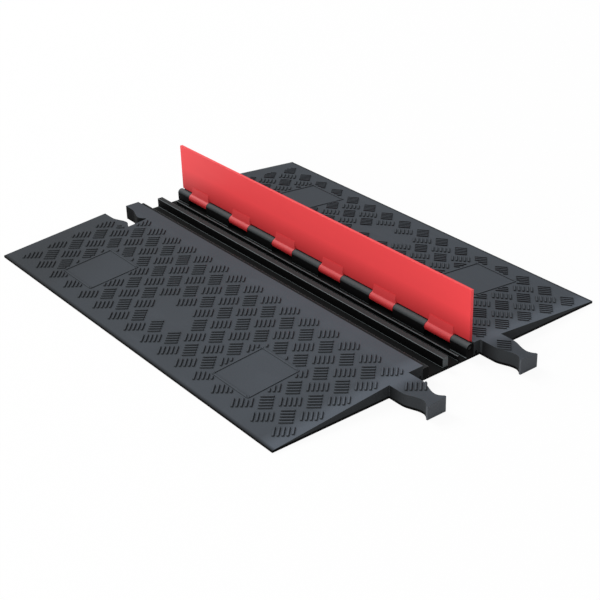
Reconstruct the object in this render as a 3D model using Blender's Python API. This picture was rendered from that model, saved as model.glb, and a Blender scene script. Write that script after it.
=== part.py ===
"""Cable protector ramp: two tread ramps, a two-channel tray between them and a hinged lid.

Frame: X runs along the cables, Y across the ramps from the free edge of the lid to its hinge, Z is up.
The origin is on the ground under the middle of the tray. The lid is modelled standing open.
"""

import math

import bmesh
import bpy
from mathutils import Vector

# Overall sizes, in metres
LENGTH = 0.914
WIDTH = 0.748
TOE_HEIGHT = 0.0045
REAR_PLATEAU_WIDTH = 0.0152

# Tray: floor, divider, rib and the ledge under the lid's free edge
FLOOR_THICKNESS = 0.0045
CHANNEL_DEPTH = 0.019
DIVIDER_Y = 0.004
DIVIDER_WIDTH = 0.0122
RIB_Y = 0.035
RIB_WIDTH = 0.003
RIB_HEIGHT = 0.0095
RIB_LEFT_SETBACK = 0.020
UPRIGHT_SETBACK = 0.003
LEDGE_WIDTH = 0.013
TRAY_SETBACK = 0.0044

# Tongues that the ramps hook over, on a flange each side of the tray
FLANGE_WIDTH = 0.008
TONGUE_WIDTH = 0.004
TONGUE_HEIGHT = 0.0075

# Lid and hinge
LID_THICKNESS = 0.006
LID_REACH = 0.1102
LID_EDGE_GAP = 0.0008
LID_SETBACK = 0.005
AXIS_Y = 0.060
KNUCKLE_RADIUS = 0.0085
KNUCKLE_COUNT = 6
KNUCKLE_LENGTH = 0.065
KNUCKLE_INSET = 0.0376
KNUCKLE_SIDE_GAP = 0.001
FILLET_RISE = 0.012
FILLET_START_DEGREES = 120.0
ROD_RADIUS = 0.0032
PLUG_SHOULDER = 0.001
PLUG_LENGTH = 0.004
PLUG_SINK = 0.0015

# Fishtail connectors on the right end and the slots for them in the left end
CONNECTOR_LENGTH = 0.0895
ROOT_HALF_WIDTH = 0.0233
ROOT_LENGTH = 0.030
WAIST_HALF_WIDTH = 0.0125
FLARE_LENGTH = 0.016
TIP_HALF_WIDTH = 0.0205
TIP_LENGTH = 0.003
SLOT_CLEARANCE = 0.0015
SLOT_WALL = 0.0058

# Tread: five-bar tiles laid basket fashion on each slope, and one tile on each connector
TILE_PITCH_X = 0.0562
TILE_PITCH_Y = 0.0575
TILE_SHIFT_X = 0.0101
FIRST_ROW_Y = 0.1021
TILE_BARS = 5
BAR_PITCH = 0.008
BAR_LENGTH = 0.0236
BAR_WIDTH = 0.0042
BAR_HEIGHT = 0.0023
BAR_SHORTEST = 0.008
CONNECTOR_TILE_X = 0.0335

# Places that the tread keeps clear of: the ends, the slot, two framed plates and the patch between them
END_MARGIN = 0.0085
SLOT_MARGIN = 0.0065
PLATE_X = 0.2588
PLATE_SHIFT_X = 0.0044
PLATE_Y = 0.2632
PLATE_HALF_X = 0.057
PLATE_HALF_Y = 0.0595
PATCH_HALF_X = 0.060
PATCH_HALF_Y = 0.020

# Clearance between seated pieces, and between the panel and the tray's knuckles as it swings
FIT = 0.0003
SWING = 0.0025

# How far guide solids run past what they shape, and the facets of round faces
OVERRUN = 0.001
ROUND_SEGMENTS = 32
EASE_STEPS = 8
SMOOTH_DEGREES = 40.0

# Finishes: colour and roughness
RUBBER = ((0.030, 0.033, 0.038), 0.75)
RED_PLASTIC = ((0.55, 0.035, 0.035), 0.5)
ROD_STEEL = ((0.42, 0.43, 0.45), 0.35)
PLUG_PLASTIC = ((0.012, 0.012, 0.013), 0.6)

# Sizes that follow from the ones above
SEAT_HEIGHT = FLOOR_THICKNESS + CHANNEL_DEPTH
PLATEAU_HEIGHT = SEAT_HEIGHT + FIT + LID_THICKNESS
AXIS_Z = PLATEAU_HEIGHT - KNUCKLE_RADIUS
RECESS_FRONT_Y = AXIS_Y - LID_REACH - LID_EDGE_GAP
RECESS_REAR_Y = AXIS_Y + KNUCKLE_RADIUS + FIT
SHOULDER_Y = RECESS_REAR_Y + REAR_PLATEAU_WIDTH
CONNECTOR_Y = RECESS_REAR_Y + FLANGE_WIDTH + SLOT_WALL + SLOT_CLEARANCE + ROOT_HALF_WIDTH
WAIST_DISTANCE = CONNECTOR_LENGTH - TIP_LENGTH - FLARE_LENGTH
END_X = LENGTH / 2
TRAY_END_X = END_X - TRAY_SETBACK
LID_END_X = TRAY_END_X - LID_SETBACK
TOE_Y = WIDTH / 2
TONGUE_TOP = FLOOR_THICKNESS + TONGUE_HEIGHT
PANEL_FRONT = KNUCKLE_RADIUS - LID_THICKNESS
FILLET_TOP = KNUCKLE_RADIUS + FILLET_RISE
PLUG_RADIUS = ROD_RADIUS + PLUG_SHOULDER
SLOPE_FALL = (PLATEAU_HEIGHT - TOE_HEIGHT) / (TOE_Y - SHOULDER_Y)
HINGE_PLACE = (0.0, AXIS_Y, AXIS_Z)


def clear_scene():
    """Remove every object that the file starts with."""
    for item in list(bpy.data.objects):
        bpy.data.objects.remove(item, do_unlink=True)


def make_material(name, finish, metallic=0.0):
    """Return a Principled material with one colour and roughness."""
    colour, roughness = finish
    material = bpy.data.materials.new(name)
    material.use_nodes = True
    shader = material.node_tree.nodes["Principled BSDF"]
    shader.inputs["Base Color"].default_value = (*colour, 1.0)
    shader.inputs["Roughness"].default_value = roughness
    shader.inputs["Metallic"].default_value = metallic
    return material


def arc(centre, radius, start, end, steps):
    """Return points on an arc, from the start angle to the end angle in degrees."""
    points = []
    for step in range(steps + 1):
        angle = math.radians(start + (end - start) * step / steps)
        points.append((centre[0] + radius * math.cos(angle), centre[1] + radius * math.sin(angle)))
    return points


def along_x(y, z, x):
    """Place a section point (y, z) at x."""
    return Vector((x, y, z))


def along_z(x, y, z):
    """Place a plan point (x, y) at z."""
    return Vector((x, y, z))


def add_prism(bm, outline, low, high, place):
    """Add a closed prism to a mesh: an outline carried from low to high along its third axis."""
    bottom = [bm.verts.new(place(u, v, low)) for u, v in outline]
    top = [bm.verts.new(place(u, v, high)) for u, v in outline]
    faces = [bm.faces.new(bottom), bm.faces.new(top)]
    count = len(outline)
    for index in range(count):
        following = (index + 1) % count
        faces.append(bm.faces.new((bottom[index], bottom[following], top[following], top[index])))
    bmesh.ops.recalc_face_normals(bm, faces=faces)


def add_bar(bm, radius, low, high):
    """Add a round bar about the mesh's own X axis."""
    last = 360.0 - 360.0 / ROUND_SEGMENTS
    add_prism(bm, arc((0.0, 0.0), radius, 0.0, last, ROUND_SEGMENTS - 1), low, high, along_x)


def make_object(name, bm, material=None, place=(0.0, 0.0, 0.0)):
    """Turn a mesh whose points are relative to a place into a named object."""
    mesh = bpy.data.meshes.new(name)
    bm.to_mesh(mesh)
    bm.free()
    mesh.shade_smooth()
    mesh.set_sharp_from_angle(angle=math.radians(SMOOTH_DEGREES))
    item = bpy.data.objects.new(name, mesh)
    item.location = place
    if material is not None:
        mesh.materials.append(material)
    bpy.context.scene.collection.objects.link(item)
    return item


def make_guide(name, bm, place=(0.0, 0.0, 0.0)):
    """Make a guide solid that only shapes other pieces."""
    guide = make_object(name, bm, place=place)
    guide.hide_render = True
    guide.display_type = "WIRE"
    return guide


def combine(item, operation, guide):
    """Join, cut or intersect a piece with a guide solid."""
    modifier = item.modifiers.new(guide.name, "BOOLEAN")
    modifier.operation = operation
    modifier.solver = "EXACT"
    modifier.object = guide


def lid_knuckle_spans():
    """Return the X spans of the lid's knuckles, evenly spaced between the insets at the lid's ends."""
    first = -LID_END_X + KNUCKLE_INSET + KNUCKLE_LENGTH / 2
    pitch = -2 * first / (KNUCKLE_COUNT - 1)
    centres = [first + pitch * index for index in range(KNUCKLE_COUNT)]
    return [(x - KNUCKLE_LENGTH / 2, x + KNUCKLE_LENGTH / 2) for x in centres]


def tray_knuckle_spans():
    """Return the X spans between the lid's knuckles, less the side gap, out to the ends of the tray."""
    spans = lid_knuckle_spans()
    starts = [-TRAY_END_X] + [high + KNUCKLE_SIDE_GAP for _, high in spans]
    ends = [low - KNUCKLE_SIDE_GAP for low, _ in spans] + [TRAY_END_X]
    return list(zip(starts, ends))


def connector_half_width(distance):
    """Return half the width of the fishtail at a distance out from the end of the ramp."""
    if distance <= ROOT_LENGTH:
        return ROOT_HALF_WIDTH
    if distance <= WAIST_DISTANCE:
        share = (distance - ROOT_LENGTH) / (WAIST_DISTANCE - ROOT_LENGTH)
        ease = share * share * (3.0 - 2.0 * share)
        return ROOT_HALF_WIDTH + (WAIST_HALF_WIDTH - ROOT_HALF_WIDTH) * ease
    share = min(1.0, (distance - WAIST_DISTANCE) / FLARE_LENGTH)
    return WAIST_HALF_WIDTH + (TIP_HALF_WIDTH - WAIST_HALF_WIDTH) * share * share


def fishtail(root_x, centre_y, clearance):
    """Return the fishtail's plan outline from its root's lower side, round the head, to its upper side."""
    neck = (WAIST_DISTANCE - ROOT_LENGTH) / EASE_STEPS
    flare = FLARE_LENGTH / EASE_STEPS
    stations = [0.0]
    stations += [ROOT_LENGTH + neck * step for step in range(EASE_STEPS + 1)]
    stations += [WAIST_DISTANCE + flare * step for step in range(1, EASE_STEPS + 1)]
    side = [(s, connector_half_width(s) + clearance) for s in stations]
    side.append((CONNECTOR_LENGTH + clearance, TIP_HALF_WIDTH + clearance))
    lower = [(root_x + s, centre_y - half) for s, half in side]
    upper = [(root_x + s, centre_y + half) for s, half in reversed(side)]
    return lower + upper


def ramp_plan(sign):
    """Return a ramp's plan: a fishtail and a slot on its ends, and an inner edge as long as the tray."""
    inner = -RECESS_FRONT_Y if sign < 0 else RECESS_REAR_Y
    root_side = CONNECTOR_Y - ROOT_HALF_WIDTH
    slot = fishtail(-END_X, CONNECTOR_Y, SLOT_CLEARANCE)
    plan = [(-END_X, TOE_Y), (END_X, TOE_Y)]
    plan += reversed(fishtail(END_X, CONNECTOR_Y, 0.0))
    plan += [(TRAY_END_X, root_side), (TRAY_END_X, inner), (-TRAY_END_X, inner)]
    plan += [(-TRAY_END_X, root_side - SLOT_CLEARANCE)] + slot[1:]
    return [(x, sign * y) for x, y in plan]


def ramp_section(sign):
    """Return a ramp's section: toe, slope, plateau, and the rebate over the tray's flange and tongue."""
    inner = -RECESS_FRONT_Y if sign < 0 else RECESS_REAR_Y
    tongue_outer = inner + FLANGE_WIDTH
    tongue_inner = tongue_outer - TONGUE_WIDTH
    section = [
        (TOE_Y, 0.0),
        (TOE_Y, TOE_HEIGHT),
        (SHOULDER_Y, PLATEAU_HEIGHT),
        (inner, PLATEAU_HEIGHT),
        (inner, FLOOR_THICKNESS + FIT),
        (tongue_inner - FIT, FLOOR_THICKNESS + FIT),
        (tongue_inner - FIT, TONGUE_TOP + FIT),
        (tongue_outer + FIT, TONGUE_TOP + FIT),
        (tongue_outer + FIT, 0.0),
    ]
    return [(sign * y, z) for y, z in section]


def tile_centres():
    """Return the centre and lean of every tile, in X and the distance out from the middle."""
    rows = int((TOE_Y - FIRST_ROW_Y) / (TILE_PITCH_Y / 2))
    columns = int(LENGTH / TILE_PITCH_X)
    tiles = []
    for row in range(rows):
        lean = -1.0 if row % 2 else 1.0
        first = TILE_SHIFT_X + (0.0 if row % 2 else TILE_PITCH_X / 2)
        for column in range(columns):
            x = first + (column - columns // 2) * TILE_PITCH_X
            tiles.append((Vector((x, FIRST_ROW_Y + row * TILE_PITCH_Y / 2)), lean))
    return tiles


def tile_bars(centre, lean):
    """Return the two ends of each bar of a tile, whose bars lie at 45 degrees."""
    along = Vector((1.0, lean)).normalized()
    across = Vector((-along.y, along.x))
    half = along * BAR_LENGTH / 2
    spots = [centre + across * BAR_PITCH * (index - (TILE_BARS - 1) / 2) for index in range(TILE_BARS)]
    return [(spot - half, spot + half) for spot in spots]


def share_inside(start, end, low, high):
    """Return the two ends of the stretch of a bar inside an upright rectangle, as shares of the bar."""
    first, last = 0.0, 1.0
    for a, b, bottom, top in zip(start, end, low, high):
        near, far = sorted(((bottom - a) / (b - a), (top - a) / (b - a)))
        first, last = max(first, near), min(last, far)
    return first, last


def kept_clear():
    """Return the corners of the rectangles that the bars are cut back from: the two plates and the slot."""
    plates = [(PLATE_SHIFT_X + turn * PLATE_X, PLATE_Y, PLATE_HALF_X, PLATE_HALF_Y) for turn in (-1, 1)]
    slot_reach = CONNECTOR_LENGTH + SLOT_CLEARANCE + SLOT_MARGIN
    slot_side = ROOT_HALF_WIDTH + SLOT_CLEARANCE + SLOT_MARGIN
    places = plates + [(-END_X, CONNECTOR_Y, slot_reach, slot_side)]
    return [((x - half_x, y - half_y), (x + half_x, y + half_y)) for x, y, half_x, half_y in places]


def cut_back(start, end):
    """Return what is left of a bar on the slope, clear of the plates and the slot."""
    low = (END_MARGIN - END_X, SHOULDER_Y + BAR_WIDTH / 2)
    high = (END_X - END_MARGIN, TOE_Y - END_MARGIN)
    stretches = [share_inside(start, end, low, high)]
    for corner, opposite in kept_clear():
        first, last = share_inside(start, end, corner, opposite)
        if first < last:
            stretches = [part for a, b in stretches for part in ((a, min(b, first)), (max(a, last), b))]
    kept = [(a, b) for a, b in stretches if (b - a) * BAR_LENGTH > BAR_SHORTEST]
    return [(start.lerp(end, a), start.lerp(end, b)) for a, b in kept]


def tread_bars():
    """Return the two ends of every bar of a ramp's tread, in X and the distance out from the middle."""
    bars = tile_bars(Vector((END_X + CONNECTOR_TILE_X, CONNECTOR_Y)), 1.0)
    for centre, lean in tile_centres():
        if abs(centre.x - PLATE_SHIFT_X) < PATCH_HALF_X and abs(centre.y - PLATE_Y) < PATCH_HALF_Y:
            continue
        for start, end in tile_bars(centre, lean):
            bars += cut_back(start, end)
    return bars


def add_tread_bar(bm, sign, start, end):
    """Add one bar of a ramp's tread: a ridge that stands square on the slope and is rooted in it."""
    first, last = (
        Vector((x, sign * out, TOE_HEIGHT + SLOPE_FALL * (TOE_Y - out))) for x, out in (start, end))
    up = Vector((0.0, sign * SLOPE_FALL, 1.0)).normalized()
    along = (last - first).normalized()
    across = up.cross(along)
    root = BAR_WIDTH / 2 * (1.0 + OVERRUN / BAR_HEIGHT)
    ridge = [(-root, -OVERRUN), (root, -OVERRUN), (0.0, BAR_HEIGHT)]

    def on_slope(u, v, distance):
        """Place a point of the ridge's section at a distance along the bar."""
        return first + across * u + up * v + along * distance

    add_prism(bm, ridge, 0.0, (last - first).length, on_slope)


def build_ramp(name, sign):
    """Make one ramp: its section carried along X, trimmed to its plan, with the tread raised on it."""
    body = bmesh.new()
    add_prism(body, ramp_section(sign), -END_X - OVERRUN, END_X + CONNECTOR_LENGTH + OVERRUN, along_x)
    ramp = make_object(name, body, make_material(name + "_rubber", RUBBER))
    trim = bmesh.new()
    add_prism(trim, ramp_plan(sign), -OVERRUN, PLATEAU_HEIGHT + OVERRUN, along_z)
    combine(ramp, "INTERSECT", make_guide(name + "_plan", trim))
    tread = bmesh.new()
    for start, end in tread_bars():
        add_tread_bar(tread, sign, start, end)
    combine(ramp, "UNION", make_guide(name + "_tread", tread))


def tray_section():
    """Return the tray's section, from its front tongue over the ledge and the floor to its rear tongue."""
    floor = FLOOR_THICKNESS
    front_tongue = RECESS_FRONT_Y - FLANGE_WIDTH
    ledge_front = RECESS_FRONT_Y + FIT
    ledge_rear = ledge_front + LEDGE_WIDTH
    rear_tongue = RECESS_REAR_Y + FLANGE_WIDTH
    return [
        (front_tongue, 0.0),
        (front_tongue, TONGUE_TOP),
        (front_tongue + TONGUE_WIDTH, TONGUE_TOP),
        (front_tongue + TONGUE_WIDTH, floor),
        (ledge_front, floor),
        (ledge_front, SEAT_HEIGHT),
        (ledge_rear, SEAT_HEIGHT),
        (ledge_rear, floor),
        (rear_tongue - TONGUE_WIDTH, floor),
        (rear_tongue - TONGUE_WIDTH, TONGUE_TOP),
        (rear_tongue, TONGUE_TOP),
        (rear_tongue, 0.0),
    ]


def upright_section(middle, width, height):
    """Return the section of an upright that is rooted in the floor: the divider or the low rib behind it."""
    root = FLOOR_THICKNESS - OVERRUN
    top = FLOOR_THICKNESS + height
    front = middle - width / 2
    rear = middle + width / 2
    return [(front, root), (rear, root), (rear, top), (front, top)]


def tray_knuckle_section():
    """Return the section of a tray knuckle: a round barrel on a post that is rooted in the floor."""
    root = FLOOR_THICKNESS - OVERRUN
    post = [(AXIS_Y - KNUCKLE_RADIUS, root), (AXIS_Y + KNUCKLE_RADIUS, root)]
    return post + arc((AXIS_Y, AXIS_Z), KNUCKLE_RADIUS, 0.0, 180.0, ROUND_SEGMENTS // 2)


def build_tray():
    """Make the tray with its divider, rib and knuckles, bored for the rod and counterbored for the plugs."""
    body = bmesh.new()
    add_prism(body, tray_section(), -TRAY_END_X, TRAY_END_X, along_x)
    tray = make_object("channel_tray", body, make_material("channel_tray_rubber", RUBBER))
    uprights = bmesh.new()
    divider = upright_section(DIVIDER_Y, DIVIDER_WIDTH, CHANNEL_DEPTH)
    rib = upright_section(RIB_Y, RIB_WIDTH, RIB_HEIGHT)
    upright_end = TRAY_END_X - UPRIGHT_SETBACK
    add_prism(uprights, divider, -TRAY_END_X, upright_end, along_x)
    add_prism(uprights, rib, RIB_LEFT_SETBACK - TRAY_END_X, upright_end, along_x)
    for low, high in tray_knuckle_spans():
        add_prism(uprights, tray_knuckle_section(), low, high, along_x)
    combine(tray, "UNION", make_guide("tray_uprights", uprights))
    bore = bmesh.new()
    add_bar(bore, ROD_RADIUS + FIT, -TRAY_END_X - OVERRUN, TRAY_END_X + OVERRUN)
    combine(tray, "DIFFERENCE", make_guide("tray_rod_bore", bore, HINGE_PLACE))
    seats = bmesh.new()
    seat_floor = TRAY_END_X - PLUG_SINK - PLUG_LENGTH - FIT
    for sign in (-1, 1):
        low, high = sorted((sign * seat_floor, sign * (TRAY_END_X + OVERRUN)))
        add_bar(seats, PLUG_RADIUS + FIT, low, high)
    combine(tray, "DIFFERENCE", make_guide("plug_seats", seats, HINGE_PLACE))


def lid_panel_section():
    """Return the panel's section about the hinge axis, hollowed below to clear the tray's knuckles."""
    clear_radius = KNUCKLE_RADIUS + SWING
    front_angle = math.degrees(math.acos(PANEL_FRONT / clear_radius))
    rear_angle = math.degrees(math.acos(KNUCKLE_RADIUS / clear_radius))
    hollow = arc((0.0, 0.0), clear_radius, front_angle, rear_angle, EASE_STEPS)
    return hollow + [(KNUCKLE_RADIUS, LID_REACH), (PANEL_FRONT, LID_REACH)]


def lid_knuckle_section():
    """Return a lid knuckle's section: a barrel with a hollow fillet up to the panel's front face."""
    barrel = arc((0.0, 0.0), KNUCKLE_RADIUS, FILLET_START_DEGREES, 360.0, ROUND_SEGMENTS * 5 // 8)
    foot = Vector(barrel[0])
    corner = Vector((PANEL_FRONT, KNUCKLE_RADIUS))
    head = Vector((PANEL_FRONT, FILLET_TOP))
    fillet = []
    for step in range(EASE_STEPS):
        share = step / EASE_STEPS
        point = head * (1 - share) ** 2 + corner * 2 * share * (1 - share) + foot * share ** 2
        fillet.append((point.x, point.y))
    return barrel + [(KNUCKLE_RADIUS, FILLET_TOP)] + fillet


def build_lid():
    """Make the lid standing open about its hinge axis: a flat panel with knuckles bored for the rod."""
    body = bmesh.new()
    add_prism(body, lid_panel_section(), -LID_END_X, LID_END_X, along_x)
    lid = make_object("lid", body, make_material("lid_plastic", RED_PLASTIC), HINGE_PLACE)
    knuckles = bmesh.new()
    for low, high in lid_knuckle_spans():
        add_prism(knuckles, lid_knuckle_section(), low, high, along_x)
    combine(lid, "UNION", make_guide("lid_knuckles", knuckles, HINGE_PLACE))
    bore = bmesh.new()
    add_bar(bore, ROD_RADIUS + FIT, -TRAY_END_X, TRAY_END_X)
    combine(lid, "DIFFERENCE", make_guide("lid_rod_bore", bore, HINGE_PLACE))


def build_rod():
    """Make the rod through all the knuckles, between the two plugs."""
    body = bmesh.new()
    half = TRAY_END_X - PLUG_SINK - PLUG_LENGTH - FIT
    add_bar(body, ROD_RADIUS, -half, half)
    make_object("hinge_rod", body, make_material("hinge_rod_steel", ROD_STEEL, 1.0), HINGE_PLACE)


def build_plug(name, sign):
    """Make one plug, sunk in the end of the tray's outer knuckle."""
    body = bmesh.new()
    outer = TRAY_END_X - PLUG_SINK
    low, high = sorted((sign * outer, sign * (outer - PLUG_LENGTH)))
    add_bar(body, PLUG_RADIUS, low, high)
    make_object(name, body, make_material(name + "_plastic", PLUG_PLASTIC), HINGE_PLACE)


def main():
    """Build every piece of the cable protector."""
    clear_scene()
    build_ramp("front_ramp", -1)
    build_ramp("rear_ramp", 1)
    build_tray()
    build_lid()
    build_rod()
    build_plug("rod_plug_right", 1)
    build_plug("rod_plug_left", -1)


main()
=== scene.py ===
"""Looks of the cable protector: two tread ramps, a channel tray with a hinged lid, and a studio.

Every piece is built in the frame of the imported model, in metres: X runs along the cables, Y across
the ramps from the lid's free edge to its hinge, Z is up, and the ground is at zero.
"""

import logging
import math
from dataclasses import dataclass, field
from enum import Enum
from typing import Any, Callable, Dict, List, Optional, Sequence, Tuple, Union

import bmesh
import bpy
from mathutils import Matrix, Vector


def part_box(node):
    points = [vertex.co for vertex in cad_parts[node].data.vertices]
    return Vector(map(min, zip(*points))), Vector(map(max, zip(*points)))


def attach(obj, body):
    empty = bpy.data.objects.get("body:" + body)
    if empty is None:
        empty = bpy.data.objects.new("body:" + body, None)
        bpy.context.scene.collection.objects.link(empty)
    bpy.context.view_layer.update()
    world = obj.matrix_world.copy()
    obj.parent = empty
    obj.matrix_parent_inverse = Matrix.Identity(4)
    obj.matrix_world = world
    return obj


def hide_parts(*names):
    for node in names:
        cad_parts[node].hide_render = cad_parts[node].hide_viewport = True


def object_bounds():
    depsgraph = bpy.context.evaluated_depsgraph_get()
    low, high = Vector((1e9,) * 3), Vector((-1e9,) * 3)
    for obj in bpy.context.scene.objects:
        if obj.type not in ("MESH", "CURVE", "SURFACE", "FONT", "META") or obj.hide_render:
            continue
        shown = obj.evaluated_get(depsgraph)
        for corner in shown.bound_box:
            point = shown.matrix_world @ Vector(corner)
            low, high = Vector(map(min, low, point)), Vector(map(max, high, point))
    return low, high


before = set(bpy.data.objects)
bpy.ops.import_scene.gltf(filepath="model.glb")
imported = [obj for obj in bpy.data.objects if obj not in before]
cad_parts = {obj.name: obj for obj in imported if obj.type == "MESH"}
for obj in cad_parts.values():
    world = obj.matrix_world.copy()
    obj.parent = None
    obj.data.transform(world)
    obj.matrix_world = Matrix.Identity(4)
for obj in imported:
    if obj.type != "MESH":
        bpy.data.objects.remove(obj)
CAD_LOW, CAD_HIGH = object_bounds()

LOG = logging.getLogger("cable_protector")

Colour = Tuple[float, float, float]
Limits = Tuple[float, float]
Number = Union[float, "Wire"]
Line = Tuple[Vector, Vector]

# The layers that mark how much painted highlight and how much painted shade each face gets, from 0 to
# 1.
PAINTED_HIGHLIGHT_MARK = "painted_highlight_mark"
PAINTED_SHADE_MARK = "painted_shade"

# Turns between faces, in degrees.
FLAT_DEGREES = 0.5
SHARP_DEGREES = 38.0
TURNED_DEGREES = 40.0

# The least part of a normal that points the way a face is said to face.
FACING = 0.95
FRONT_FACING = 0.5

MERGE_DISTANCE = 1e-6
BARREL_RADIUS = 0.0085
BARREL_SLACK = 0.00045
BARREL_RISE = 0.2
WHITE = (1.0, 1.0, 1.0)


class Side(Enum):
    """The two ramps, by the sign of Y on which they lie."""

    FRONT = -1
    REAR = 1

    @property
    def label(self) -> str:
        """Return the ramp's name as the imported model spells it."""
        return f"{self.name.lower()}_ramp"


class End(Enum):
    """The two ends of the tray, by the sign of X."""

    LEFT = -1
    RIGHT = 1


class Lean(Enum):
    """The two ways that a tile's bars lie in plan on the front ramp."""

    RISING = (1.0, 1.0)
    FALLING = (1.0, -1.0)


class Slot(Enum):
    """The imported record's names for the finishes."""

    RAMP = "ramp_rubber"
    TRAY = "tray_rubber"
    LID = "lid_plastic"
    ROD = "rod_steel"
    PLUG = "plug_plastic"


Tile = Tuple[Vector, Lean]


class Wire:
    """An output socket of a shader tree. Sums of wires add Math nodes."""

    def __init__(self, tree: "ShaderTree", socket: bpy.types.NodeSocket) -> None:
        """Keep the socket and the tree that it belongs to."""
        self.tree = tree
        self.socket = socket

    def math(self, operation: str, first: Number, second: Number) -> "Wire":
        """Add a Math node.

        Args:
            operation: The Math node's operation.
            first: The number or wire of its first socket.
            second: The number or wire of its second socket.

        Returns:
            The node's result.
        """
        return self.tree.node("ShaderNodeMath", {"operation": operation}, {0: first, 1: second})

    def __add__(self, other: Number) -> "Wire":
        """Return this plus the other."""
        return self.math("ADD", self, other)

    def __radd__(self, other: Number) -> "Wire":
        """Return the other plus this."""
        return self.math("ADD", other, self)

    def __sub__(self, other: Number) -> "Wire":
        """Return this less the other."""
        return self.math("SUBTRACT", self, other)

    def __rsub__(self, other: Number) -> "Wire":
        """Return the other less this."""
        return self.math("SUBTRACT", other, self)

    def __mul__(self, other: Number) -> "Wire":
        """Return this times the other."""
        return self.math("MULTIPLY", self, other)

    def __rmul__(self, other: Number) -> "Wire":
        """Return the other times this."""
        return self.math("MULTIPLY", other, self)


class ShaderTree:
    """A node tree of a material or a world, with its one output."""

    def __init__(self, owner: Union[bpy.types.Material, bpy.types.World], output: str) -> None:
        """Empty the owner's tree and give it one output node.

        Args:
            owner: The material or world.
            output: The type of its output node.
        """
        owner.use_nodes = True
        self.owner = owner
        self.tree = owner.node_tree
        self.tree.nodes.clear()
        self.output = self.tree.nodes.new(output)

    def node(
        self,
        kind: str,
        settings: Optional[Dict[str, Any]] = None,
        sockets: Optional[Dict[Union[int, str], Any]] = None,
        out: Union[int, str] = 0,
    ) -> Wire:
        """Add any node.

        Args:
            kind: The node's type.
            settings: Its own settings, which are set first.
            sockets: The values or wires of its inputs, by name or number.
            out: The output to go on with, by name or number.

        Returns:
            The wire of that output.
        """
        made = self.tree.nodes.new(kind)
        for name, value in (settings or {}).items():
            setattr(made, name, value)
        for key, value in (sockets or {}).items():
            if isinstance(value, Wire):
                self.tree.links.new(value.socket, made.inputs[key])
            else:
                made.inputs[key].default_value = value
        return Wire(self, made.outputs[out])

    def place(self) -> Wire:
        """Return the piece's own coordinates."""
        return self.node("ShaderNodeTexCoord", out="Object")

    def axis(self, vector: Wire, name: str) -> Wire:
        """Return one part of a vector, by the name X, Y or Z."""
        return self.node("ShaderNodeSeparateXYZ", None, {0: vector}, name)

    def mark(self, layer: str) -> Wire:
        """Return how much of a mark the piece's own layer gives."""
        return self.node("ShaderNodeAttribute", {"attribute_name": layer}, out="Fac")

    def mix(self, share: Number, low: Any, high: Any) -> Wire:
        """Mix two colours, on the sockets that a Mix node keeps for colours.

        Args:
            share: How much of the second colour shows.
            low: The first colour, or its wire.
            high: The second colour, or its wire.

        Returns:
            The mixed colour.
        """
        return self.node("ShaderNodeMix", {"data_type": "RGBA"}, {0: share, 6: low, 7: high}, 2)

    def spread(self, value: Wire, low: float, high: float) -> Wire:
        """Stretch a value so that low becomes 0 and high becomes 1, and clamp it.

        Args:
            value: The wire to stretch.
            low: What becomes 0.
            high: What becomes 1.

        Returns:
            The stretched value.
        """
        return self.node("ShaderNodeMapRange", {"clamp": True}, {0: value, 1: low, 2: high})

    def relief(self, height: Wire, strength: float, depth: float) -> Wire:
        """Give the surface a fine relief.

        Args:
            height: The relief's pattern.
            strength: How strongly it shows, from 0 to 1.
            depth: How deep it is.

        Returns:
            The normal that it makes.
        """
        return self.node(
            "ShaderNodeBump", None, {"Strength": strength, "Distance": depth, "Height": height})

    def close(self, shader: Wire) -> None:
        """Send a shader to the output."""
        self.tree.links.new(shader.socket, self.output.inputs["Surface"])

    def surface(self, sockets: Dict[Union[int, str], Any]) -> bpy.types.Material:
        """Close the tree with a Principled shader of these inputs and return its material."""
        self.close(self.node("ShaderNodeBsdfPrincipled", None, sockets))
        return self.owner


def material_tree(name: str) -> ShaderTree:
    """Return the empty tree of a new material."""
    return ShaderTree(bpy.data.materials.new(name), "ShaderNodeOutputMaterial")


def opaque(colour: Colour) -> Tuple[float, float, float, float]:
    """Return a colour with full alpha."""
    return (*colour, 1.0)


def seen_directly(tree: ShaderTree) -> Wire:
    """Tell the rays that show the background from those that only light the object.

    Args:
        tree: The tree that asks.

    Returns:
        1 for rays from the camera, in a reflection or through glass, and 0 for the rest.
    """
    camera = tree.node("ShaderNodeLightPath", out="Is Camera Ray")
    glossy = tree.node("ShaderNodeLightPath", out="Is Glossy Ray")
    through = tree.node("ShaderNodeLightPath", out="Is Transmission Ray")
    return tree.spread(camera + glossy + through, 0.0, 1.0)


@dataclass(frozen=True)
class Fade:
    """An amount that comes in over a stretch of some measure."""

    amount: float
    low: float
    high: float

    def over(self, measure: Wire) -> Wire:
        """Return how much of the amount has come in at each value of the measure."""
        return self.amount * measure.tree.spread(measure, self.low, self.high)


@dataclass(frozen=True)
class Pattern:
    """A noise pattern, by its waves to a metre, its finer layers and its stretch along each axis."""

    scale: float
    detail: float
    stretch: Tuple[float, float, float] = (1.0, 1.0, 1.0)
    limits: Optional[Limits] = None

    def over(self, place: Wire) -> Wire:
        """Lay the pattern over a piece.

        Args:
            place: The piece's own coordinates.

        Returns:
            The pattern, from 0 to 1, spread between its limits where it has them.
        """
        tree = place.tree
        drawn = tree.node("ShaderNodeMapping", None, {"Vector": place, "Scale": self.stretch})
        sockets = {"Vector": drawn, "Scale": self.scale, "Detail": self.detail}
        noise = tree.node("ShaderNodeTexNoise", None, sockets)
        return tree.spread(noise, *self.limits) if self.limits else noise


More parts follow.
